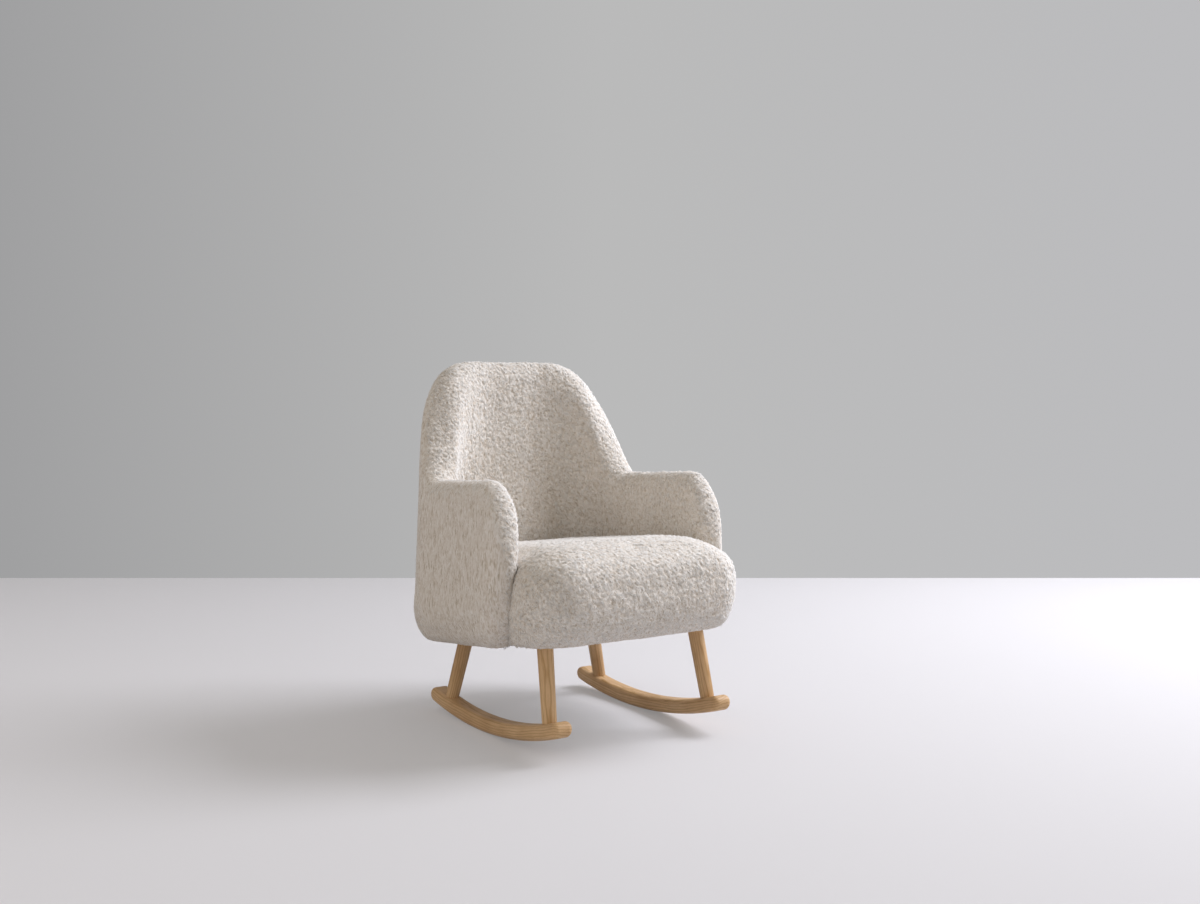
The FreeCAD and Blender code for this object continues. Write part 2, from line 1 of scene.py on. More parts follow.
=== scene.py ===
import math
import bpy
import numpy as np
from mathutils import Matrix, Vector


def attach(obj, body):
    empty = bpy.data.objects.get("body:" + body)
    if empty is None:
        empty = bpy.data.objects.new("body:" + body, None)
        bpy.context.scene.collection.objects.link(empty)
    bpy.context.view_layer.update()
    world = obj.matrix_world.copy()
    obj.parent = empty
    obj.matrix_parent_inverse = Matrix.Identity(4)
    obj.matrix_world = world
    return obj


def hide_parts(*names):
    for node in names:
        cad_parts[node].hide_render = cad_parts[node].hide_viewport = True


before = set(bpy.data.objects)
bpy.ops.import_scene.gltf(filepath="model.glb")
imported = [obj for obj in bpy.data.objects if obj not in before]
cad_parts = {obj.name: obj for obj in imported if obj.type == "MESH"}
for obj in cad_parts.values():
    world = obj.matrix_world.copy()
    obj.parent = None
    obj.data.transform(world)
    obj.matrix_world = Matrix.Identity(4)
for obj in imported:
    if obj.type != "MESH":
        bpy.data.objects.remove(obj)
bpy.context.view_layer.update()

scene = bpy.context.scene


def linearColour(hexText):
    # sRGB hex to linear: c / 12.92 under the knee, ((c + 0.055) / 1.055) ^ 2.4 above it
    parts = [int(hexText[i:i + 2], 16) / 255 for i in (1, 3, 5)]
    return [c / 12.92 if c <= 0.04045 else ((c + 0.055) / 1.055) ** 2.4 for c in parts] + [1.0]


def addNode(tree, kind, settings=None, **links):
    # settings holds node properties and plain input values, links holds sockets that feed inputs
    node = tree.nodes.new(kind)
    for key, value in (settings or {}).items():
        if hasattr(node, key) and key not in node.inputs:
            setattr(node, key, value)
        else:
            node.inputs[key].default_value = value
    for key, socket in links.items():
        place = int(key[1:]) if key[0] == "i" and key[1:].isdigit() else key.replace("_", " ")
        tree.links.new(socket, node.inputs[place])
    return node


def newMaterial(name):
    material = bpy.data.materials.new(name)
    material.use_nodes = True
    tree = material.node_tree
    tree.nodes.clear()
    return material, tree


def wear(piece, material):
    piece.data.materials.clear()
    piece.data.materials.append(material)


def setRamp(node, stops):
    # stops are (position, hex) pairs in rising order
    ramp = node.color_ramp
    while len(ramp.elements) < len(stops):
        ramp.elements.new(0.5)
    for element, (position, hexText) in zip(ramp.elements, stops):
        element.position = position
        element.color = linearColour(hexText)


# whole-array noise for the pile
def cellHash(i, j, k, seed):
    # mixes three integer cell indices into one number from 0 to 1
    h = i.astype(np.uint32) * np.uint32(73856093)
    h = h ^ (j.astype(np.uint32) * np.uint32(19349663))
    h = h ^ (k.astype(np.uint32) * np.uint32(83492791)) ^ np.uint32(seed * 2654435 + 17)
    h = (h ^ (h >> np.uint32(13))) * np.uint32(1540483477)
    h = (h ^ (h >> np.uint32(15))) * np.uint32(2246822519)
    return ((h ^ (h >> np.uint32(16))) & np.uint32(0xFFFFFF)).astype(np.float64) / 16777216.0


def softNoise(p, seed):
    # value noise: hashed values at the eight cell corners, blended by 3t^2 - 2t^3 along each axis
    base = np.floor(p)
    t = p - base
    t = t * t * (3 - 2 * t)
    cell = base.astype(np.int64)
    total = np.zeros(len(p))
    for dx in (0, 1):
        for dy in (0, 1):
            for dz in (0, 1):
                w = (t[:, 0] if dx else 1 - t[:, 0]) * (t[:, 1] if dy else 1 - t[:, 1])
                w = w * (t[:, 2] if dz else 1 - t[:, 2])
                total += w * cellHash(cell[:, 0] + dx, cell[:, 1] + dy, cell[:, 2] + dz, seed)
    return total


def tuftField(p, seed, jitter=0.85):
    # one tuft per unit cell: height falls from 1 at the tuft's centre with the squared distance to
    # the nearest centre, and each tuft has its own random shade
    cell = np.floor(p).astype(np.int64)
    nearest = np.full(len(p), 9.0)
    shade = np.zeros(len(p))
    for dx in (-1, 0, 1):
        for dy in (-1, 0, 1):
            for dz in (-1, 0, 1):
                i, j, k = cell[:, 0] + dx, cell[:, 1] + dy, cell[:, 2] + dz
                ox = i + 0.5 + jitter * (cellHash(i, j, k, seed) - 0.5) - p[:, 0]
                oy = j + 0.5 + jitter * (cellHash(i, j, k, seed + 1) - 0.5) - p[:, 1]
                oz = k + 0.5 + jitter * (cellHash(i, j, k, seed + 2) - 0.5) - p[:, 2]
                d = ox * ox + oy * oy + oz * oz
                closer = d < nearest
                nearest = np.where(closer, d, nearest)
                shade = np.where(closer, cellHash(i, j, k, seed + 3), shade)
    return np.clip(1 - nearest / 0.62, 0, 1), shade


def ease(a, b, x):
    # 0 below a, 1 above b, 3t^2 - 2t^3 between
    t = np.clip((x - a) / (b - a), 0, 1)
    return t * t * (3 - 2 * t)


# mesh helpers
def gridMesh(name, points):
    # points is rows x columns x 3; neighbours are joined by quads, and the columns close on themselves
    rows, cols = points.shape[:2]
    r, c = np.meshgrid(np.arange(rows - 1), np.arange(cols), indexing="ij")
    n = (c + 1) % cols
    quads = np.stack([r * cols + c, r * cols + n, (r + 1) * cols + n, (r + 1) * cols + c], -1).reshape(-1, 4)
    mesh = bpy.data.meshes.new(name)
    mesh.from_pydata(points.reshape(-1, 3).tolist(), [], quads.tolist())
    piece = bpy.data.objects.new(name, mesh)
    scene.collection.objects.link(piece)
    return piece


def vertexArray(mesh, field="co"):
    data = np.empty(len(mesh.vertices) * 3)
    if field == "co":
        mesh.vertices.foreach_get("co", data)
    else:
        mesh.vertex_normals.foreach_get("vector", data)
    return data.reshape(-1, 3)


def bakeModifiers(piece):
    # swaps the piece's mesh for its evaluated one and drops its modifiers
    graph = bpy.context.evaluated_depsgraph_get()
    done = bpy.data.meshes.new_from_object(piece.evaluated_get(graph))
    old = piece.data
    piece.modifiers.clear()
    piece.data = done
    bpy.data.meshes.remove(old)


def evenMesh(piece, voxel):
    cut = piece.modifiers.new("even", "REMESH")
    cut.mode = "VOXEL"
    cut.voxel_size = voxel
    cut.use_smooth_shade = True
    bakeModifiers(piece)


def relax(piece, rounds):
    calm = piece.modifiers.new("calm", "SMOOTH")
    calm.iterations = rounds
    calm.factor = 0.5
    bakeModifiers(piece)


# what the cloth simulation gives both padded pieces; cap in metres
stuffing = dict(pressure=4.0, cap=0.004, frames=20, quality=4, mass=0.3, stretch=25, shear=15, bending=2.0)


def puffUp(piece, hold):
    # cloth under air pressure: held points stay, the others swell by at most the cap
    start = vertexArray(piece.data)
    group = piece.vertex_groups.new(name="held")
    group.add(np.flatnonzero(hold).tolist(), 1.0, "REPLACE")
    cloth = piece.modifiers.new("stuffing", "CLOTH")
    cloth.settings.quality = stuffing["quality"]
    cloth.settings.mass = stuffing["mass"]
    cloth.settings.tension_stiffness = stuffing["stretch"]
    cloth.settings.compression_stiffness = stuffing["stretch"]
    cloth.settings.shear_stiffness = stuffing["shear"]
    cloth.settings.bending_stiffness = stuffing["bending"]
    cloth.settings.use_pressure = True
    cloth.settings.uniform_pressure_force = stuffing["pressure"]
    cloth.settings.vertex_group_mass = "held"
    cloth.settings.effector_weights.gravity = 0.0
    cloth.point_cache.frame_start = 1
    cloth.point_cache.frame_end = stuffing["frames"]
    for number in range(1, stuffing["frames"] + 1):
        scene.frame_set(number)
    graph = bpy.context.evaluated_depsgraph_get()
    moved = vertexArray(piece.evaluated_get(graph).data) - start
    piece.modifiers.clear()
    piece.vertex_groups.clear()
    scene.frame_set(1)
    cap = stuffing["cap"]
    length = np.linalg.norm(moved, axis=1)
    moved *= (np.minimum(length, cap) / np.maximum(length, 1e-9))[:, None]
    piece.data.vertices.foreach_set("co", (start + moved).ravel())
    piece.data.update()
    print("  swelled by up to", round(1000 * float(length.max()), 1), "mm, kept to", 1000 * cap)


def storeFloat(mesh, name, values):
    layer = mesh.attributes.new(name, "FLOAT", "POINT")
    layer.data.foreach_set("value", values.astype(np.float32))


# the tub: one wall that runs from arm tip round the back to arm tip, metres
tub = dict(backTop=0.908, armTop=0.608, armSlope=0.055, armSplay=0.0095, midHalfWidth=0.286, midRear=0.320,
           cornerRadius=0.150, riseBefore=0.022, riseLength=0.336, riseEase=2.0, wallDatum=0.300,
           wallOuter=0.043, wallInner=0.038, outerLean=0.045, innerLean=0.020, tuckIn=0.050, tuckHeight=0.100,
           drop=0.004, rimRoll=0.085, rimLean=0.03, bowlRadius=0.205, bowlFrom=0.430, bowlCrest=0.15,
           bowlRoll=0.4, armFront=-0.223, armNose=0.438, armCrest=0.097, crestPower=1.74, armUnder=0.095,
           armPlanRound=0.042, noseFine=0.05, deckHeight=0.224, deckTilt=6.5, skinBack=-0.0015, heldFoot=0.03,
           smooth=8, coarse=0.006, fine=0.0027)
tub["cornerX"] = tub["midHalfWidth"] - tub["cornerRadius"]
tub["cornerY"] = tub["midRear"] - tub["cornerRadius"]
tub["slope"] = math.tan(math.radians(tub["deckTilt"]))


def deckZ(y):
    return tub["deckHeight"] - y * tub["slope"]


def tubOuter(z):
    return tub["wallOuter"] - tub["outerLean"] * (z - tub["wallDatum"])


def tubInner(z):
    return -tub["wallInner"] + tub["innerLean"] * (z - tub["wallDatum"])


def tubMiddle(y):
    # half the distance between the arms' middle lines, wider towards the front by the square of the way there
    ahead = np.clip((tub["cornerY"] - y) / (tub["cornerY"] - tub["armFront"]), 0, 1)
    return tub["midHalfWidth"] + tub["armSplay"] * ahead ** 2


def tubRim(arc):
    # arm height with a slight climb to the front, plus an S-shaped rise that rounds over slowly at the top
    u = np.clip((arc + tub["riseBefore"]) / tub["riseLength"], 0, 1)
    rise = ease(0, 1, 1 - (1 - u) ** tub["riseEase"])
    return tub["armTop"] - tub["armSlope"] * np.minimum(arc, 0) + (tub["backTop"] - tub["armTop"]) * rise


def tubBowl(ahead, turn, back):
    # how far the inside of the wall stands in from its plain line, so that its corners follow one big round;
    # ahead and back are the distances from the corner along the arm and along the back
    plain = tub["cornerRadius"] - tub["wallInner"]
    more = tub["bowlRadius"] - plain
    off = np.clip(more - np.maximum(ahead, back), 0, more)
    flat = tub["bowlRadius"] - np.sqrt(tub["bowlRadius"] ** 2 - off ** 2)
    both = more * (np.cos(turn) + np.sin(turn))
    bend = plain + both - np.sqrt(both ** 2 - 2 * more ** 2 + tub["bowlRadius"] ** 2)
    return np.where((ahead > 0) | (back > 0), flat, bend)


def tubWall(inset):
    # first parameter runs along the wall's middle line, second round its upright section: up the inside,
    # over a rounded rim, down the leaning outside, under the tucked foot and back along the bottom
    straight = tub["cornerY"] - tub["armFront"] - inset
    bend = tub["cornerRadius"] * math.pi / 2
    total = straight + bend + tub["cornerX"]
    nose = tub["noseFine"] * (1 - np.cos(np.linspace(0, math.pi / 2, 26)))
    along = np.concatenate([nose, np.linspace(tub["noseFine"], total, 170)[1:]])
    along = np.concatenate([along, 2 * total - along[-2::-1]])
    side = np.where(np.arange(len(along)) < len(along) // 2, -1.0, 1.0)
    run = np.minimum(along, 2 * total - along)
    turn = np.clip((run - straight) / tub["cornerRadius"], 0, math.pi / 2)
    back = np.maximum(run - straight - bend, 0)
    x = side * (tub["cornerX"] - back + tub["cornerRadius"] * np.cos(turn))
    y = tub["armFront"] + inset + np.minimum(run, straight) + tub["cornerRadius"] * np.sin(turn)
    x = np.where(run < straight, side * tubMiddle(y), x)
    nx, ny = side * np.cos(turn), np.sin(turn)

    # rounded arm end: ellipses above and below the nose, a round in plan
    def bow(centre, reach, power=2.0):
        u = np.clip((centre - y) / reach, 0, 1)
        return np.where(run < straight, (1 - u ** power) ** (1 / power), 1.0)

    crest = bow(tub["armFront"] + tub["armCrest"], tub["armCrest"] - inset, tub["crestPower"])
    under = bow(tub["armFront"] + tub["armUnder"], tub["armUnder"] - inset)
    slim = bow(tub["armFront"] + tub["armPlanRound"], tub["armPlanRound"] - inset)
    rim = tubRim(run - straight) - inset
    top = tub["armNose"] + (rim - tub["armNose"]) * crest
    low = tub["armNose"] + (deckZ(y) - tub["drop"] + inset - tub["armNose"]) * under
    height = top - low
    centre = 0.5 * (tubOuter(low + 0.6 * height) + tubInner(low + 0.6 * height))

    def outer(z):
        return centre + (tubOuter(z) - inset - centre) * slim

    def inner(z):
        return centre + (tubInner(z) + inset - centre) * slim

    # the rim is half round on the arms; up the back its inner side rolls further down
    soft = np.clip((top + inset - tub["armTop"]) / (tub["backTop"] - tub["armTop"]), 0, 1)
    crown = np.minimum(0.5 * (outer(top) - inner(top)), 0.45 * height)
    bowl = tubBowl(np.maximum(straight - run, 0), turn, back) * ease(tub["armFront"], tub["cornerY"], y)
    roll = np.minimum(crown + tub["rimRoll"] * soft + tub["bowlRoll"] * bowl * soft, 0.45 * height)
    shoulder, brow = top - crown, top - roll
    peak = inner(shoulder) + (0.5 + tub["rimLean"] * soft) * (outer(shoulder) - inner(shoulder))
    peak = peak - tub["bowlCrest"] * bowl * soft
    sill = np.minimum(tub["bowlFrom"], brow - 0.02)
    browIn = inner(brow) - bowl
    tuck = np.minimum(tub["tuckHeight"], 0.4 * height)
    wide = outer(low + tuck)
    foot = wide - tub["tuckIn"] * slim
    rows = []
    t = np.linspace(0, 1, 50)[None, :-1]
    rows.append((inner(low)[:, None] + (inner(sill) - inner(low))[:, None] * t,
                 low[:, None] + (sill - low)[:, None] * t))
    t = np.linspace(0, 1, 50)[None, :]
    flatIn = inner(sill)[:, None] + (inner(brow) - inner(sill))[:, None] * t
    rows.append((flatIn - bowl[:, None] * ease(0, 1, t),
                 sill[:, None] + (brow - sill)[:, None] * t))
    a = np.linspace(0, math.pi / 2, 30)[None, 1:]
    rows.append((peak[:, None] + (browIn - peak)[:, None] * np.cos(a),
                 brow[:, None] + roll[:, None] * np.sin(a)))
    a = np.linspace(math.pi / 2, 0, 20)[None, 1:]
    rows.append((peak[:, None] + (outer(shoulder) - peak)[:, None] * np.cos(a),
                 shoulder[:, None] + crown[:, None] * np.sin(a)))
    t = np.linspace(0, 1, 80)[None, 1:]
    zs = shoulder[:, None] + (low + tuck - shoulder)[:, None] * t
    rows.append((outer(shoulder)[:, None] + (wide - outer(shoulder))[:, None] * t, zs))
    a = np.linspace(0, math.pi / 2, 30)[None, 1:]
    rows.append((foot[:, None] + (wide - foot)[:, None] * np.cos(a),
                 (low + tuck)[:, None] - tuck[:, None] * np.sin(a)))
    t = np.linspace(0, 1, 20)[None, 1:-1]
    rows.append((foot[:, None] + (inner(low) - foot)[:, None] * t, low[:, None] + 0 * t))
    o = np.concatenate([r[0] for r in rows], 1)
    z = np.concatenate([r[1] for r in rows], 1)
    # the underside follows the slope of the deck
    z = z - ny[:, None] * o * tub["slope"] * np.clip(1 - (z - low[:, None]) / tub["tuckHeight"], 0, 1)
    return np.stack([x[:, None] + nx[:, None] * o, y[:, None] + ny[:, None] * o, z], -1)


# the seat: a thick bun between the arms that swells out in front of them
seat = dict(halfWidth=0.297, front=-0.381, rear=0.295, widest=0.120, crown=0.227, undercut=0.065,
            sideUndercut=0.046, crownInset=0.170, frontRadius=0.105, rearRadius=0.118,
            skinBack=0.0025, drop=0.003, pressed=-0.002, heldFoot=0.02, smooth=3, coarse=0.006, fine=0.0027)


def seatBun(inset):
    # rounded rectangles stacked up the deck's normal: a quarter ellipse under the widest line, a fuller
    # curve above it, and a flat crown that closes to a point
    part = np.linspace(0, 1, 34)
    roll = 1 - np.sqrt(1 - (1 - part) ** 2)
    z = (seat["widest"] + seat["drop"]) * part - seat["drop"]
    sideDraw, endDraw = seat["sideUndercut"] * roll, seat["undercut"] * roll
    part = np.sin(np.linspace(0, math.pi / 2, 50)[1:])
    roll = 1 - np.sqrt(np.clip(1 - part ** 2.6, 0, 1))
    z = np.concatenate([z, seat["widest"] + (seat["crown"] - inset - seat["widest"]) * part])
    sideDraw = np.concatenate([sideDraw, seat["crownInset"] * roll])
    endDraw = np.concatenate([endDraw, seat["crownInset"] * roll])
    w = seat["halfWidth"] - sideDraw - inset
    front, rear = seat["front"] + endDraw + inset, seat["rear"] - 0.8 * endDraw - inset
    rf = np.maximum(seat["frontRadius"] - 0.35 * (endDraw + inset), 0.02)
    rr = np.maximum(seat["rearRadius"] - 0.35 * (endDraw + inset), 0.02)

    def side(x0, y0, x1, y1, n):
        t = np.linspace(0, 1, n, endpoint=False)[None, :]
        return np.stack([x0[:, None] + (x1 - x0)[:, None] * t, y0[:, None] + (y1 - y0)[:, None] * t], -1)

    def corner(cx, cy, r, a0):
        a = np.linspace(a0, a0 + math.pi / 2, 24, endpoint=False)[None, :]
        return np.stack([cx[:, None] + r[:, None] * np.cos(a), cy[:, None] + r[:, None] * np.sin(a)], -1)

    loops = [side(-w + rf, front, w - rf, front, 60), corner(w - rf, front + rf, rf, -math.pi / 2),
             side(w, front + rf, w, rear - rr, 60), corner(w - rr, rear - rr, rr, 0.0),
             side(w - rr, rear, -w + rr, rear, 60), corner(-w + rr, rear - rr, rr, math.pi / 2),
             side(-w, rear - rr, -w, front + rf, 60), corner(-w + rf, front + rf, rf, math.pi)]
    plan = np.concatenate(loops, 1)
    plan = np.concatenate([plan, np.repeat(z[:, None, None], plan.shape[1], 1)], 2)

    def lid(loop, count):
        middle = loop.mean(0)
        shrink = np.linspace(1, 0, count)[1:, None, None]
        return middle + (loop[None] - middle) * shrink

    bun = np.concatenate([lid(plan[0], 30)[::-1], plan, lid(plan[-1], 30)])
    tilt = math.radians(tub["deckTilt"])
    yy = bun[..., 1] * math.cos(tilt) + bun[..., 2] * math.sin(tilt)
    zz = -bun[..., 1] * math.sin(tilt) + bun[..., 2] * math.cos(tilt) + tub["deckHeight"]
    return pressInside(np.stack([bun[..., 0], yy, zz], -1))


def pressInside(p):
    # keeps the bun inside the tub: its flanks stop at the arms' inner faces and round the arm ends, and
    # its rear stops at the inside of the back and of the round corners
    x, y, z = p[..., 0], p[..., 1], p[..., 2]
    gap = seat["pressed"]
    face = tubMiddle(y) + tubInner(z) - gap
    below = np.clip((tub["armNose"] - z) / (tub["armNose"] - deckZ(y)), 0, 1)
    tip = tub["armFront"] + tub["armUnder"] - tub["armUnder"] * np.sqrt(1 - below ** 2)
    near = np.clip((tip + tub["armPlanRound"] - y) / (tub["armPlanRound"] + gap), 0, 1)
    limit = face + (seat["halfWidth"] + 0.002 - face) * (1 - np.sqrt(1 - near ** 2))
    x = np.sign(x) * np.minimum(np.abs(x), limit)
    reach = tub["cornerRadius"] + tubInner(z) - gap
    dx, dy = np.maximum(np.abs(x) - tub["cornerX"], 0), np.maximum(y - tub["cornerY"], 0)
    far = np.sqrt(dx * dx + dy * dy)
    scale = np.minimum(1, reach / np.maximum(far, 1e-6))
    bent = (y > tub["cornerY"]) & (scale < 1)
    x = np.where(bent, np.sign(x) * (np.minimum(np.abs(x), tub["cornerX"]) + dx * scale), x)
    y = np.where(bent, tub["cornerY"] + dy * scale, y)
    return np.stack([x, y, z], -1)


# the pile, shared by tub and seat
pile = dict(curl=0.0085, fineCurl=0.0050, streakWide=0.0065, streakLong=0.026, height=0.0028, root=0.35,
            clump=0.045, lift=0.0011, waver=0.016, sway=0.007, combedSway=0.005)


def combPile(piece, pressed):
    # raises curls along the normals. Inside the tub and on the seat they are round tufts in two sizes on
    # a wavering grid; on the outside of the tub the tufts are drawn out downwards into combed streaks
    p, n = vertexArray(piece.data), vertexArray(piece.data, "normal")
    waver = np.stack([softNoise(p / pile["waver"], s) for s in (3, 5, 7)], -1) - 0.5
    q = p + pile["sway"] * waver
    round1, curlShade = tuftField(q / pile["curl"], 11)
    round2 = tuftField(q / pile["fineCurl"], 23)[0]
    combed = p + pile["combedSway"] * waver
    stretch = np.array([pile["streakWide"], pile["streakWide"], pile["streakLong"]])
    long1, streakShade = tuftField(combed / stretch, 37)
    long2 = tuftField(combed / (0.55 * stretch), 41)[0]
    turn = np.clip((p[:, 1] - tub["cornerY"]) / tub["cornerRadius"], 0, 1)
    outward = n[:, 0] * np.sign(p[:, 0]) * np.sqrt(1 - turn ** 2) + n[:, 1] * turn
    outside = ease(0.1, 0.7, outward) * (0.0 if piece.name.startswith("seat") else 1.0)
    curl = 0.62 * round1 + 0.38 * round2
    streak = 0.6 * long1 + 0.4 * long2
    rise = curl * (1 - outside) + streak * outside
    shade = curlShade * (1 - outside) + streakShade * outside
    clump = softNoise(p / pile["clump"], 53)
    tall = pile["height"] * (0.75 + 0.5 * clump) * (1 - 0.55 * outside) * (1 - pressed)
    p = p + n * (tall * (rise - pile["root"]) + pile["lift"] * (clump - 0.5))[:, None]
    piece.data.vertices.foreach_set("co", p.ravel())
    piece.data.update()
    # the height of each point also sets its colour, so the hollows between tufts get painted shade
    storeFloat(piece.data, "pileTip", rise)
    storeFloat(piece.data, "tuftShade", 0.5 * shade + 0.5 * clump)
    storeFloat(piece.data, "combed", outside)
    return outside


def upholster(name, points, form, nodes):
    # an even mesh is eased, swollen above its held foot, and cut again finely enough for the pile
    piece = gridMesh(name, points)
    evenMesh(piece, form["coarse"])
    relax(piece, form["smooth"])
    p = vertexArray(piece.data)
    puffUp(piece, p[:, 2] < deckZ(p[:, 1]) + form["heldFoot"])
    relax(piece, 5)
    evenMesh(piece, form["fine"])
    relax(piece, 6)
    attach(piece, "root")
    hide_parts(*nodes)
    print(name, len(piece.data.vertices), "points")
    return piece


tubPiece = upholster("tub_upholstery", tubWall(tub["skinBack"]), tub, ["shell_cover", "shell_foam"])
tubComb = combPile(tubPiece, 0.0)
seatPiece = upholster("seat_upholstery", seatBun(seat["skinBack"]), seat,
                      ["seat_cover", "seat_foam", "spring_felt"])
# the pile lies flat where the seat's flanks press against the arms
seatPoints = vertexArray(seatPiece.data)
flank = tubMiddle(seatPoints[:, 1]) + tubInner(seatPoints[:, 2]) - np.abs(seatPoints[:, 0])
hidden = ease(0.010, 0.004, flank) * (seatPoints[:, 1] > tub["armFront"] + 0.05)
seatComb = combPile(seatPiece, 0.8 * hidden)
print("upholstery done")

# loose locks that stand out of the pile: bent spindles of 6 faces, 8 to 13 mm long and about 2 mm thick
lock = dict(long=(0.008, 0.013), thick=(0.0008, 0.0013), rise=0.0020, sink=0.0012, wave=0.0022, wind=4.5,
            stray=0.36, askew=(0.55, -0.60, -0.75), down=(0.0, -0.12, -1.0), count=32000, lowest=0.19,
            underside=-0.75, ownNormal=0.28)


def growLocks(name, piece, combed, wanted, seed):
    # each lock runs along the lie of the pile: its middle line is root + lie * t, lifted by a half sine and
    # bent sideways by a sine, with a ring of three points near its middle and a point at each end
    rng = np.random.default_rng(seed)
    count = lock["count"]
    p, n = vertexArray(piece.data), vertexArray(piece.data, "normal")
    shown = np.flatnonzero(wanted & (n[:, 2] > lock["underside"]) & (p[:, 2] > lock["lowest"]))
    pick = rng.choice(shown, count, replace=False)
    p, n, comb = p[pick], n[pick], combed[pick]
    lie = comb[:, None] * np.array(lock["down"]) + (1 - comb[:, None]) * np.array(lock["askew"])
    lie = lie + rng.normal(0, 1, (count, 3)) * (lock["stray"] * (1 - 0.7 * comb))[:, None]
    lie = lie - n * np.sum(lie * n, 1)[:, None]
    lie = lie / np.maximum(np.linalg.norm(lie, axis=1), 1e-6)[:, None]
    across = np.cross(lie, n)
    long = rng.uniform(*lock["long"], count)
    thick = rng.uniform(*lock["thick"], count)
    rise = lock["rise"] * rng.uniform(0.3, 1.0, count) * (1 - 0.5 * comb)
    phase = rng.uniform(0, 2 * math.pi, count)
    wave = lock["wave"] * rng.uniform(0.2, 1.0, count) * (1 - 0.6 * comb)

    def middle(t):
        lift = rise * math.sin(math.pi * (0.15 + 0.7 * t)) - lock["sink"]
        bend = wave * (np.sin(phase + lock["wind"] * t) - np.sin(phase))
        return p + lie * (long * t)[:, None] + n * lift[:, None] + across * bend[:, None]

    ring = [middle(0.45) + thick[:, None] * (math.cos(a) * n + math.sin(a) * across)
            for a in (0.0, 2 * math.pi / 3, 4 * math.pi / 3)]
    points = np.stack([middle(0.0)] + ring + [middle(1.0)], 1)
    faces = np.array([(0, 2, 1), (0, 3, 2), (0, 1, 3), (1, 2, 4), (2, 3, 4), (3, 1, 4)])
    faces = (faces[None] + 5 * np.arange(count)[:, None, None]).reshape(-1, 3)
    mesh = bpy.data.meshes.new(name)
    mesh.from_pydata(points.reshape(-1, 3).tolist(), [], faces.tolist())
    mesh.polygons.foreach_set("use_smooth", np.ones(len(faces), bool))
    locks = bpy.data.objects.new(name, mesh)
    scene.collection.objects.link(locks)
    # the hairs of a lock scatter light, so it is shaded mostly as the cloth under it
    own = np.empty(len(mesh.vertices) * 3)
    mesh.vertices.foreach_get("normal", own)
    soft = np.repeat(n, 5, axis=0) + lock["ownNormal"] * own.reshape(-1, 3)
    soft = soft / np.linalg.norm(soft, axis=1)[:, None]
    mesh.normals_split_custom_set_from_vertices(soft.tolist())
    # each lock is painted darker at its root than at its tip: painted shade where it sinks into the pile
    rootShadeToTip = np.array([0.55, 0.8, 0.8, 0.8, 1.0])
    storeFloat(mesh, "pileTip", (rootShadeToTip[None] * rng.uniform(0.75, 1.0, count)[:, None]).ravel())
    storeFloat(mesh, "tuftShade", np.repeat(rng.uniform(0, 1, count), 5))
    storeFloat(mesh, "combed", np.repeat(comb, 5))
    storeFloat(mesh, "loose", np.ones(5 * count))
    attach(locks, "root")
    print(name, count, "locks")
    return locks


insideLocks = growLocks("inside_pile_locks", tubPiece, tubComb, tubComb < 0.5, 5)
outsideLocks = growLocks("outside_pile_locks", tubPiece, tubComb, tubComb >= 0.5, 6)
seatLocks = growLocks("seat_pile_locks", seatPiece, seatComb, np.ones(len(seatComb), bool), 7)
print("pile locks done")

# cream teddy: knitted polyester with a curled pile, no gloss; pale soft strands over brownish gaps whose
# darker colour is painted shade deep in the pile.
# Strands wind about every 6 mm and run 15 mm, lying askew on the seat and inside, and 28 mm down the outside
teddyLook = dict(strandWide=0.0062, strandLong=0.015, combedWide=0.0060, combedLong=0.028, lean=38.0,
                 lineHalf=0.15, heightShadeShare=0.35, strandShare=0.35, tintShare=0.8, bump=0.28, depth=0.0022,
                 gap="#BEB2A3", low="#DBD3C9", mid="#F1EEEA", tip="#FEFEFD")
teddy, tree = newMaterial("teddy_curled_pile")
tipHeight = addNode(tree, "ShaderNodeAttribute", dict(attribute_name="pileTip"))
tuftShade = addNode(tree, "ShaderNodeAttribute", dict(attribute_name="tuftShade"))
combed = addNode(tree, "ShaderNodeAttribute", dict(attribute_name="combed"))
place = addNode(tree, "ShaderNodeTexCoord")


def strandLines(wide, long, turn, shift, bend):
    # winding lines: bright where a stretched noise passes its middle value
    mapped = addNode(tree, "ShaderNodeMapping", dict(Rotation=turn), Vector=place.outputs["Object"])
    mapped = addNode(tree, "ShaderNodeMapping", dict(Location=shift, Scale=(1 / wide, 1 / wide, 1 / long)),
                     Vector=mapped.outputs["Vector"])
    noise = addNode(tree, "ShaderNodeTexNoise", dict(Scale=1.0, Detail=1.0, Roughness=0.4, Distortion=bend),
                    Vector=mapped.outputs["Vector"])
    off = addNode(tree, "ShaderNodeMath", dict(operation="SUBTRACT"), i0=noise.outputs["Fac"])
    off.inputs[1].default_value = 0.5
    off = addNode(tree, "ShaderNodeMath", dict(operation="ABSOLUTE"), i0=off.outputs["Value"])
    line = addNode(tree, "ShaderNodeMapRange",
                   {"From Min": 0.0, "From Max": teddyLook["lineHalf"], "To Min": 1.0, "To Max": 0.0},
                   Value=off.outputs["Value"])
    line.interpolation_type = "SMOOTHSTEP"
    return line.outputs["Result"]


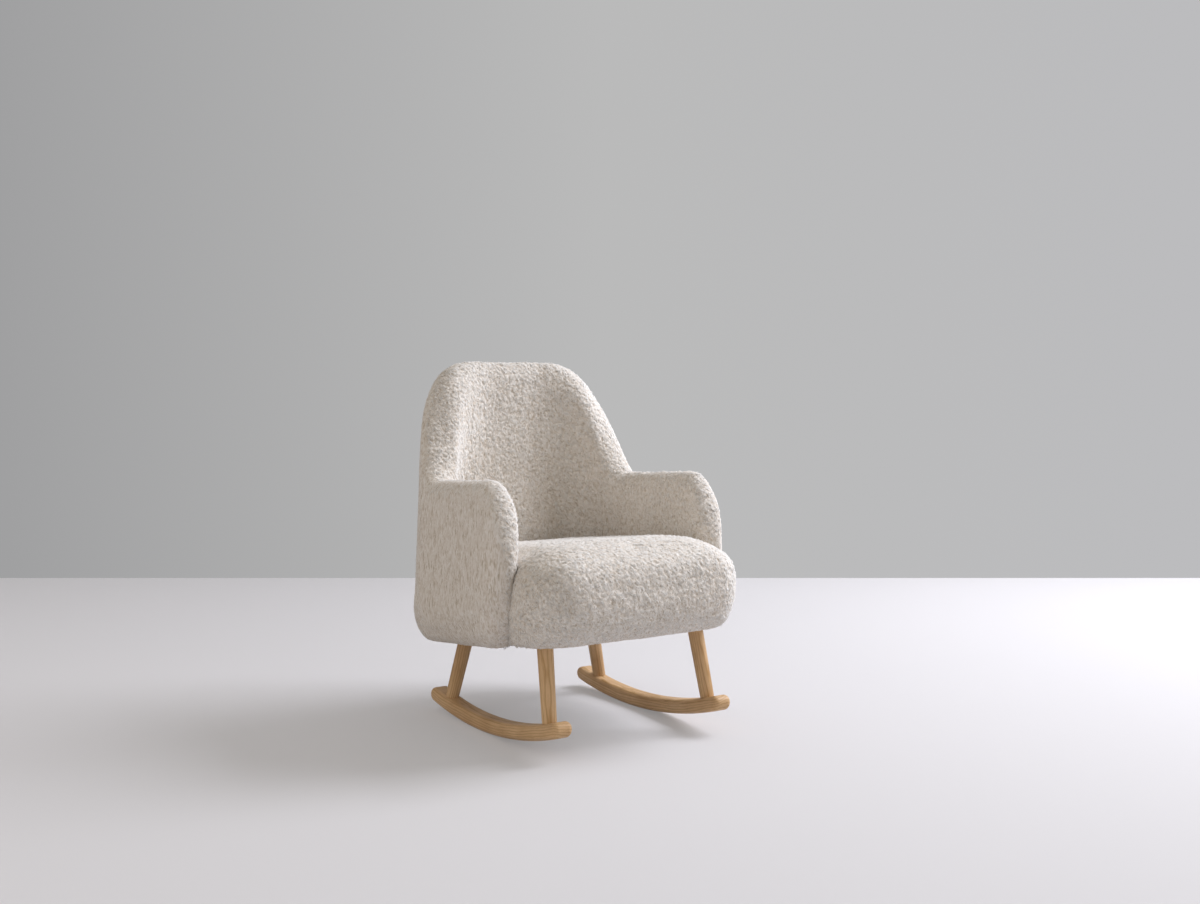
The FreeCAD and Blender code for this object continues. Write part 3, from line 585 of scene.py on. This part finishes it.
lean = math.radians(teddyLook["lean"])
curled = teddyLook["strandWide"], teddyLook["strandLong"]
drawn = teddyLook["combedWide"], teddyLook["combedLong"]
curlA = strandLines(*curled, (0.4, lean, 0.5), (0.0, 0.0, 0.0), 0.6)
curlB = strandLines(*curled, (-0.5, 0.5 * lean, -0.3), (7.3, 2.1, 4.7), 0.6)
combA = strandLines(*drawn, (0.05, 0.06, 0.0), (3.1, 8.2, 1.4), 0.25)
combB = strandLines(*drawn, (-0.06, -0.05, 0.0), (9.4, 5.5, 2.2), 0.25)
curls = addNode(tree, "ShaderNodeMath", dict(operation="MAXIMUM"), i0=curlA, i1=curlB)
combs = addNode(tree, "ShaderNodeMath", dict(operation="MAXIMUM"), i0=combA, i1=combB)
strand = addNode(tree, "ShaderNodeMix", dict(data_type="FLOAT"), i0=combed.outputs["Fac"],
                 i2=curls.outputs["Value"], i3=combs.outputs["Value"])
level = addNode(tree, "ShaderNodeMath", dict(operation="MULTIPLY"), i0=tipHeight.outputs["Fac"])
level.inputs[1].default_value = teddyLook["heightShadeShare"]
level = addNode(tree, "ShaderNodeMath", dict(operation="MULTIPLY_ADD"), i0=strand.outputs[0],
                i2=level.outputs["Value"])
level.inputs[1].default_value = teddyLook["strandShare"]
loose = addNode(tree, "ShaderNodeAttribute", dict(attribute_name="loose"))
level = addNode(tree, "ShaderNodeMix", dict(data_type="FLOAT"), i0=loose.outputs["Fac"],
                i2=level.outputs["Value"], i3=tipHeight.outputs["Fac"])
# the ramp turns the level into colour: its gap and low stops are painted shade deep in the pile and between
# the strand lines, its tip stop is the lit tufts
ramp = addNode(tree, "ShaderNodeValToRGB", Fac=level.outputs[0])
setRamp(ramp, [(0.1, teddyLook["gap"]), (0.4, teddyLook["low"]),
               (0.65, teddyLook["mid"]), (0.95, teddyLook["tip"])])
tint = addNode(tree, "ShaderNodeValToRGB", Fac=tuftShade.outputs["Fac"])
setRamp(tint, [(0.1, "#F6F3EF"), (0.9, "#FFFFFE")])
colour = addNode(tree, "ShaderNodeMix", dict(data_type="RGBA", blend_type="MULTIPLY"),
                 i6=ramp.outputs["Color"], i7=tint.outputs["Color"])
colour.inputs[0].default_value = teddyLook["tintShare"]
bound = addNode(tree, "ShaderNodeMapRange", {"To Min": teddyLook["bump"], "To Max": 0.0},
                Value=loose.outputs["Fac"])
bump = addNode(tree, "ShaderNodeBump", dict(Distance=teddyLook["depth"]), Height=strand.outputs[0],
               Strength=bound.outputs["Result"])
shader = addNode(tree, "ShaderNodeBsdfPrincipled",
                 {"Roughness": 0.95, "IOR": 1.5, "Specular IOR Level": 0.15, "Sheen Weight": 0.3,
                  "Sheen Roughness": 0.45, "Sheen Tint": linearColour("#FFFAF4")},
                 Base_Color=colour.outputs[2], Normal=bump.outputs["Normal"])
addNode(tree, "ShaderNodeOutputMaterial", Surface=shader.outputs["BSDF"])
for piece in (tubPiece, seatPiece, insideLocks, outsideLocks, seatLocks):
    wear(piece, teddy)
print("teddy done")

# oak, planed and oiled: warm straw colour, fine dark pores along the grain, rings every 6 mm or so that
# run nearly straight along a bar and open into arches where the cut wanders, a satin finish
oak = dict(ring=0.0062, ringWarp=0.016, pore=0.0011, poreLong=0.030, poreShare=0.55, wander=0.05,
           early="#DCB98D", late="#BE9865", poreDark="#97724A", rough=0.42, roughSpread=0.18)
# the rockers' arc and two points on the middle line of each right leg, as in the solids
rockerBend = dict(radius=1.230, contactY=0.052)
legLines = {"leg_front_right": ((0.226, -0.278, 0.060), (0.217, -0.247, 0.200)),
            "leg_rear_right": ((0.222, 0.208, 0.060), (0.190, 0.195, 0.200))}


def grainSockets(tree, line):
    # distance along the grain, and two across it: along a leg's own axis, or round the rocker's arc
    place = addNode(tree, "ShaderNodeTexCoord")
    if line is None:
        xyz = addNode(tree, "ShaderNodeSeparateXYZ", Vector=place.outputs["Object"])
        y = addNode(tree, "ShaderNodeMath", dict(operation="SUBTRACT"), i0=xyz.outputs["Y"])
        y.inputs[1].default_value = rockerBend["contactY"]
        z = addNode(tree, "ShaderNodeMath", dict(operation="SUBTRACT"), i1=xyz.outputs["Z"])
        z.inputs[0].default_value = rockerBend["radius"]
        angle = addNode(tree, "ShaderNodeMath", dict(operation="ARCTAN2"), i0=y.outputs[0], i1=z.outputs[0])
        along = addNode(tree, "ShaderNodeMath", dict(operation="MULTIPLY"), i0=angle.outputs[0])
        along.inputs[1].default_value = rockerBend["radius"]
        flat = addNode(tree, "ShaderNodeCombineXYZ", X=y.outputs[0], Y=z.outputs[0])
        reach = addNode(tree, "ShaderNodeVectorMath", dict(operation="LENGTH"), Vector=flat.outputs[0])
        return along.outputs[0], xyz.outputs["X"], reach.outputs["Value"]
    low, high = Vector(line[0]), Vector(line[1])
    axis = (high - low).normalized()
    first = axis.cross(Vector((0, 1, 0))).normalized()
    sockets = []
    for direction in (axis, first, axis.cross(first)):
        dot = addNode(tree, "ShaderNodeVectorMath", dict(operation="DOT_PRODUCT"), i0=place.outputs["Object"])
        dot.inputs[1].default_value = direction
        sockets.append(dot.outputs["Value"])
    return sockets


def oakMaterial(name, line, seed):
    material, tree = newMaterial(name)
    along, across, depth = grainSockets(tree, line)
    grain = addNode(tree, "ShaderNodeCombineXYZ", X=along, Y=across, Z=depth)
    shifted = addNode(tree, "ShaderNodeMapping",
                      dict(Location=(0.37 * seed, 0.011 * seed, 0.05 + 0.007 * seed)),
                      Vector=grain.outputs[0])
    # rings: noise-warped distance from a pith line that leans out of the bar
    warp = addNode(tree, "ShaderNodeMapping", dict(Scale=(6.0, 30.0, 30.0)), Vector=shifted.outputs[0])
    warp = addNode(tree, "ShaderNodeTexNoise", dict(Scale=1.0, Detail=2.0), Vector=warp.outputs[0])
    pith = addNode(tree, "ShaderNodeMapping",
                   dict(Rotation=(0.0, oak["wander"], 0.6 * oak["wander"]), Scale=(0.0, 1.0, 1.0)),
                   Vector=shifted.outputs[0])
    radius = addNode(tree, "ShaderNodeVectorMath", dict(operation="LENGTH"), Vector=pith.outputs[0])
    ring = addNode(tree, "ShaderNodeMath", dict(operation="MULTIPLY_ADD"), i0=warp.outputs["Fac"],
                   i2=radius.outputs["Value"])
    ring.inputs[1].default_value = oak["ringWarp"]
    ring = addNode(tree, "ShaderNodeMath", dict(operation="DIVIDE"), i0=ring.outputs[0])
    ring.inputs[1].default_value = oak["ring"]
    ring = addNode(tree, "ShaderNodeMath", dict(operation="FRACT"), i0=ring.outputs[0])
    ringShade = addNode(tree, "ShaderNodeValToRGB", Fac=ring.outputs[0])
    setRamp(ringShade, [(0.0, oak["early"]), (0.55, oak["early"]), (0.86, oak["late"]), (1.0, oak["early"])])
    poreMap = addNode(tree, "ShaderNodeMapping",
                      dict(Scale=(1 / oak["poreLong"], 1 / oak["pore"], 1 / oak["pore"])),
                      Vector=shifted.outputs[0])
    pores = addNode(tree, "ShaderNodeTexNoise", dict(Scale=1.0, Detail=3.0, Roughness=0.65),
                    Vector=poreMap.outputs[0])
    poreMask = addNode(tree, "ShaderNodeMapRange", {"From Min": 0.52, "From Max": 0.72},
                       Value=pores.outputs["Fac"])
    amount = addNode(tree, "ShaderNodeMath", dict(operation="MULTIPLY"), i0=poreMask.outputs["Result"])
    amount.inputs[1].default_value = oak["poreShare"]
    colour = addNode(tree, "ShaderNodeMix", dict(data_type="RGBA"), i0=amount.outputs[0],
                     i6=ringShade.outputs["Color"])
    colour.inputs[7].default_value = linearColour(oak["poreDark"])
    broad = addNode(tree, "ShaderNodeTexNoise", dict(Scale=9.0, Detail=2.0), Vector=shifted.outputs[0])
    toneMap = addNode(tree, "ShaderNodeValToRGB", Fac=broad.outputs["Fac"])
    setRamp(toneMap, [(0.3, "#E4DCD2"), (0.7, "#FFFFFF")])
    tone = addNode(tree, "ShaderNodeMix", dict(data_type="RGBA", blend_type="MULTIPLY"),
                   i6=colour.outputs[2], i7=toneMap.outputs["Color"])
    tone.inputs[0].default_value = 1.0
    rough = addNode(tree, "ShaderNodeMapRange",
                    {"To Min": oak["rough"], "To Max": oak["rough"] + oak["roughSpread"]},
                    Value=pores.outputs["Fac"])
    bump = addNode(tree, "ShaderNodeBump", dict(Strength=0.25, Distance=0.0004, invert=True),
                   Height=amount.outputs[0])
    shader = addNode(tree, "ShaderNodeBsdfPrincipled", {"IOR": 1.5, "Specular IOR Level": 0.4},
                     Base_Color=tone.outputs[2], Roughness=rough.outputs["Result"],
                     Normal=bump.outputs["Normal"])
    addNode(tree, "ShaderNodeOutputMaterial", Surface=shader.outputs["BSDF"])
    return material


def mirrorLine(line):
    return tuple((-p[0], p[1], p[2]) for p in line)


def dress(node, material):
    wear(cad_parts[node], material)


for number, side in enumerate(("left", "right")):
    dress("rocker_" + side, oakMaterial("oiled_oak_rocker_" + side, None, 1 + number))
    for order, spot in enumerate(("front", "rear")):
        line = legLines["leg_" + spot + "_right"]
        line = line if side == "right" else mirrorLine(line)
        leg = "leg_" + spot + "_" + side
        dress(leg, oakMaterial("oiled_oak_" + leg, line, 4 + 2 * number + order))
print("oak done")

# planed beech of the inner frame: even pinkish tan with short dark flecks, 6 mm wide and 25 mm long
beech, tree = newMaterial("planed_beech")
place = addNode(tree, "ShaderNodeTexCoord")
long = addNode(tree, "ShaderNodeMapping", dict(Scale=(160.0, 160.0, 40.0)), Vector=place.outputs["Object"])
fleck = addNode(tree, "ShaderNodeTexNoise", dict(Scale=1.0, Detail=3.0, Roughness=0.6),
                Vector=long.outputs["Vector"])
shade = addNode(tree, "ShaderNodeValToRGB", Fac=fleck.outputs["Fac"])
setRamp(shade, [(0.3, "#C49C77"), (0.6, "#D6B491"), (0.75, "#DDBE9E")])
shader = addNode(tree, "ShaderNodeBsdfPrincipled", {"Roughness": 0.62}, Base_Color=shade.outputs["Color"])
addNode(tree, "ShaderNodeOutputMaterial", Surface=shader.outputs["BSDF"])

# zinc-plated pressed steel: dull blue-white spangle of about 2.4 mm, uneven gloss
zinc, tree = newMaterial("zinc_plated_steel")
place = addNode(tree, "ShaderNodeTexCoord")
spangle = addNode(tree, "ShaderNodeTexNoise", dict(Scale=420.0, Detail=2.0), Vector=place.outputs["Object"])
gloss = addNode(tree, "ShaderNodeMapRange", {"To Min": 0.28, "To Max": 0.5}, Value=spangle.outputs["Fac"])
shader = addNode(tree, "ShaderNodeBsdfPrincipled", {"Base Color": linearColour("#C3C7CA"), "Metallic": 1.0},
                 Roughness=gloss.outputs["Result"])
addNode(tree, "ShaderNodeOutputMaterial", Surface=shader.outputs["BSDF"])

# drawn spring wire: dark grey steel with a faint oil shine and uneven gloss about every 1 mm
wire, tree = newMaterial("drawn_spring_wire")
place = addNode(tree, "ShaderNodeTexCoord")
streaks = addNode(tree, "ShaderNodeTexNoise", dict(Scale=900.0, Detail=2.0), Vector=place.outputs["Object"])
gloss = addNode(tree, "ShaderNodeMapRange", {"To Min": 0.3, "To Max": 0.46}, Value=streaks.outputs["Fac"])
shader = addNode(tree, "ShaderNodeBsdfPrincipled", {"Base Color": linearColour("#6A6C6E"), "Metallic": 1.0},
                 Roughness=gloss.outputs["Result"])
addNode(tree, "ShaderNodeOutputMaterial", Surface=shader.outputs["BSDF"])

timbers = ("arm_post", "arm_rail", "back_rail", "back_upright", "corner_block", "corner_post", "corner_rail",
           "seat_rail")
fixings = ("leg_hanger", "leg_plate", "shell_bolts", "shell_washers", "shell_tee", "spring_clips")
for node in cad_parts:
    if node.startswith(timbers):
        dress(node, beech)
    elif node.startswith(fixings):
        dress(node, zinc)
    elif node == "seat_springs":
        dress(node, wire)
print("frame timbers and fixings done")

# dust cloth: black spunbond tacked flat under the seat frame, cut away round the leg plates, sagging a little
dust = dict(halfWidth=0.222, front=-0.290, rear=0.212, sag=0.005, level=-0.0006, thick=0.0006,
            legs=((0.217, -0.247), (0.190, 0.195)), cutX=0.024, cutY=0.030, cols=112, rows=126)


def dustCloth():
    # flat grid in the deck plane, let down by a product of two parabolas; quads over the leg plates are
    # left out
    u = np.linspace(-1, 1, dust["cols"])
    v = np.linspace(-1, 1, dust["rows"])
    uu, vv = np.meshgrid(u, v)
    x = uu * dust["halfWidth"]
    y = 0.5 * (dust["front"] + dust["rear"]) + 0.5 * (dust["rear"] - dust["front"]) * vv
    z = dust["level"] - dust["sag"] * (1 - uu ** 2) * (1 - vv ** 2)
    tilt = math.radians(tub["deckTilt"])
    points = np.stack([x, y * math.cos(tilt) + z * math.sin(tilt),
                       -y * math.sin(tilt) + z * math.cos(tilt) + tub["deckHeight"]], -1)
    r, c = np.meshgrid(np.arange(dust["rows"] - 1), np.arange(dust["cols"] - 1), indexing="ij")
    keep = np.ones(r.shape, bool)
    for lx, ly in dust["legs"]:
        near = np.abs(np.abs(x[:-1, :-1]) - lx) < dust["cutX"]
        keep &= ~(near & (np.abs(points[:-1, :-1, 1] - ly) < dust["cutY"]))
    cols = dust["cols"]
    quads = np.stack([r * cols + c, (r + 1) * cols + c, (r + 1) * cols + c + 1, r * cols + c + 1], -1)[keep]
    used = np.unique(quads)
    place = np.zeros(dust["rows"] * cols, int)
    place[used] = np.arange(len(used))
    mesh = bpy.data.meshes.new("dust_cloth")
    mesh.from_pydata(points.reshape(-1, 3)[used].tolist(), [], place[quads].tolist())
    piece = bpy.data.objects.new("dust_cloth", mesh)
    scene.collection.objects.link(piece)
    cell = 2 * dust["halfWidth"] / (cols - 1) * (dust["rear"] - dust["front"]) / (dust["rows"] - 1)
    return piece, len(quads) * cell


dustPiece, dustArea = dustCloth()
layer = dustPiece.modifiers.new("layer", "SOLIDIFY")
layer.thickness = dust["thick"]
layer.offset = 0.0
bakeModifiers(dustPiece)
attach(dustPiece, "root")
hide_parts("dust_cover")

# spunbond polypropylene: matt charcoal with bonded dimples every 2.4 mm and clouds of loose fibres of 4 mm
cloth, tree = newMaterial("spunbond_dust_cloth")
place = addNode(tree, "ShaderNodeTexCoord")
fibres = addNode(tree, "ShaderNodeTexNoise", dict(Scale=260.0, Detail=4.0, Roughness=0.7),
                 Vector=place.outputs["Object"])
dimples = addNode(tree, "ShaderNodeTexVoronoi", dict(Scale=420.0, Randomness=0.15),
                  Vector=place.outputs["Object"])
shade = addNode(tree, "ShaderNodeValToRGB", Fac=fibres.outputs["Fac"])
setRamp(shade, [(0.3, "#26262A"), (0.7, "#3A3A3E")])
bump = addNode(tree, "ShaderNodeBump", dict(Strength=0.3, Distance=0.0003),
               Height=dimples.outputs["Distance"])
shader = addNode(tree, "ShaderNodeBsdfPrincipled", {"Roughness": 0.85}, Base_Color=shade.outputs["Color"],
                 Normal=bump.outputs["Normal"])
addNode(tree, "ShaderNodeOutputMaterial", Surface=shader.outputs["BSDF"])
wear(dustPiece, cloth)
print("dust cloth done")

# stage, metres
studio = dict(floorHalf=12.0, wallHalf=8.0, wallHigh=5.0, paintedLightHalf=2.6)


def stagePlane(name, corners, material):
    mesh = bpy.data.meshes.new(name)
    mesh.from_pydata(corners, [], [(0, 1, 2, 3)])
    plane = bpy.data.objects.new(name, mesh)
    scene.collection.objects.link(plane)
    plane.data.materials.append(material)


lens = dict(focal=38.55, sensor=36.0, place=(-1.698, -2.726, 0.837), azimuth=-33.27, pitch=-2.88,
            wallAway=5.614)
azimuth, pitch = math.radians(lens["azimuth"]), math.radians(lens["pitch"])
right = Vector((math.cos(azimuth), math.sin(azimuth), 0))
ahead = Vector((-math.sin(azimuth), math.cos(azimuth), 0))
eye = Vector(lens["place"])
look = ahead * math.cos(pitch) + Vector((0, 0, math.sin(pitch)))
camera = bpy.data.objects.new("camera", bpy.data.cameras.new("camera"))
scene.collection.objects.link(camera)
camera.data.lens = lens["focal"]
camera.data.sensor_width = lens["sensor"]
camera.data.sensor_fit = "HORIZONTAL"
camera.location = eye
camera.rotation_mode = "QUATERNION"
camera.rotation_quaternion = look.to_track_quat("-Z", "Y")
camera.data.clip_start, camera.data.clip_end = 0.05, 60.0
scene.camera = camera

base = Vector((eye.x, eye.y, 0)) + ahead * lens["wallAway"]


def shownRays(tree):
    # 1 for rays from the camera and for those that a glossy or clear surface sends on, 0 for the rest
    path = addNode(tree, "ShaderNodeLightPath")
    shown = addNode(tree, "ShaderNodeMath", dict(operation="MAXIMUM"),
                    i0=path.outputs["Is Camera Ray"], i1=path.outputs["Is Glossy Ray"])
    shown = addNode(tree, "ShaderNodeMath", dict(operation="MAXIMUM"),
                    i0=shown.outputs["Value"], i1=path.outputs["Is Transmission Ray"])
    return shown.outputs["Value"]


# floor: pale matt paint; the camera sees it with its shadows lifted a little
floorPaint, tree = newMaterial("painted_floor")
matte = addNode(tree, "ShaderNodeBsdfDiffuse", dict(Color=linearColour("#D0CECF")))
seen = addNode(tree, "ShaderNodeBsdfDiffuse", dict(Color=linearColour("#BAB8B9")))
glow = addNode(tree, "ShaderNodeEmission", dict(Color=linearColour("#7B7B7C")))
lifted = addNode(tree, "ShaderNodeAddShader", i0=seen.outputs["BSDF"], i1=glow.outputs["Emission"])
both = addNode(tree, "ShaderNodeMixShader", i0=shownRays(tree), i1=matte.outputs["BSDF"],
               i2=lifted.outputs["Shader"])
addNode(tree, "ShaderNodeOutputMaterial", Surface=both.outputs["Shader"])
half = studio["floorHalf"]
stagePlane("floor", [(-half, -half, 0), (half, -half, 0), (half, half, 0), (-half, half, 0)], floorPaint)

# wall: plain grey paint; the camera sees a grey glow in its place, with painted light that makes it a little
# lighter to the right, the side the key lamp is on
wallPaint, tree = newMaterial("painted_wall")
place = addNode(tree, "ShaderNodeTexCoord")
across = addNode(tree, "ShaderNodeVectorMath", dict(operation="DOT_PRODUCT"), i0=place.outputs["Object"])
across.inputs[1].default_value = right
shift = base.dot(right)
spread = addNode(tree, "ShaderNodeMapRange",
                 {"From Min": shift - studio["paintedLightHalf"], "From Max": shift + studio["paintedLightHalf"]},
                 Value=across.outputs["Value"])
paintedLightRamp = addNode(tree, "ShaderNodeValToRGB", Fac=spread.outputs["Result"])
# painted light: the grey is darker on the left and lighter on the right
setRamp(paintedLightRamp, [(0.0, "#A0A0A1"), (0.5, "#BABABA"), (1.0, "#BCBCBE")])
glow = addNode(tree, "ShaderNodeEmission", Color=paintedLightRamp.outputs["Color"])
matte = addNode(tree, "ShaderNodeBsdfDiffuse", dict(Color=linearColour("#B2B2B4")))
both = addNode(tree, "ShaderNodeMixShader", i0=shownRays(tree), i1=matte.outputs["BSDF"],
               i2=glow.outputs["Emission"])
addNode(tree, "ShaderNodeOutputMaterial", Surface=both.outputs["Shader"])
wide, high = right * studio["wallHalf"], Vector((0, 0, studio["wallHigh"]))
stagePlane("wall", [base - wide, base + wide, base + wide + high, base - wide + high], wallPaint)

# lights: a big soft box high on the right and a little in front, a weak warm one far out on the left, and
# even surroundings
lamps = [dict(name="key", place=(3.9, -0.9, 3.5), size=3.0, watts=365.0, colour="#F4F6FF"),
         dict(name="fill", place=(-3.6, 0.3, 1.5), size=3.0, watts=16.0, colour="#FFF0E0")]
aim = Vector((0, 0, 0.45))
surroundings = dict(colour="#FFF9F2", strength=0.44)
for lamp in lamps:
    light = bpy.data.lights.new(lamp["name"], "AREA")
    light.size = lamp["size"]
    light.energy = lamp["watts"]
    light.color = linearColour(lamp["colour"])[:3]
    holder = bpy.data.objects.new(lamp["name"], light)
    scene.collection.objects.link(holder)
    holder.location = lamp["place"]
    holder.rotation_mode = "QUATERNION"
    holder.rotation_quaternion = (aim - holder.location).to_track_quat("-Z", "Y")
world = bpy.data.worlds.new("studio")
scene.world = world
world.use_nodes = True
backdrop = world.node_tree.nodes["Background"]
backdrop.inputs["Color"].default_value = linearColour(surroundings["colour"])
backdrop.inputs["Strength"].default_value = surroundings["strength"]
scene.view_settings.view_transform = "Standard"
print("stage, camera and lights done")
